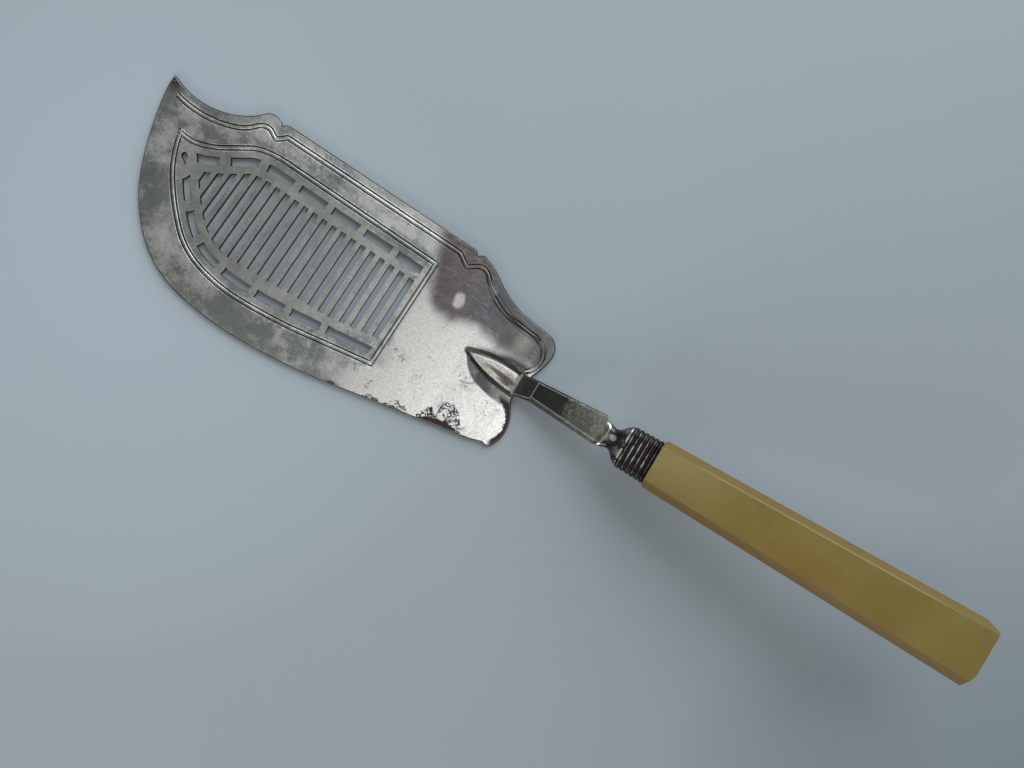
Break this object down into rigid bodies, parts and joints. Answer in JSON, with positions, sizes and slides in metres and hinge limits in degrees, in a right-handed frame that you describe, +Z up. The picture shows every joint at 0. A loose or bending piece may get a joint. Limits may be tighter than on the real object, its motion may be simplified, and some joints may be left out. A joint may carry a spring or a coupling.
{
  "type": "fish server",
  "caption": "Fish server: pierced and line-engraved metal blade with a scrolled back, cranked bevelled shank, reeded ferrule and a chamfered, tapering ivory-coloured handle.",
  "frame": {"origin": "on the blade's flat underside, below the root of the leaf, on the vertical plane through the handle's axis", "axes": "+X along the handle toward its butt, +Y toward the scrolled back of the blade, +Z up from the table"},
  "size_m": [0.3083, 0.0701, 0.0471],
  "materials": {
    "silver_plate": "satin",
    "ferrule_silver": "satin",
    "ivory_resin": "satin",
    "cement": "matte"
  },
  "bodies": {
    "root": {"blade": "silver_plate", "ferrule": "ferrule_silver", "handle": "ivory_resin", "tang_cement": "cement"}
  },
  "joints": []
}
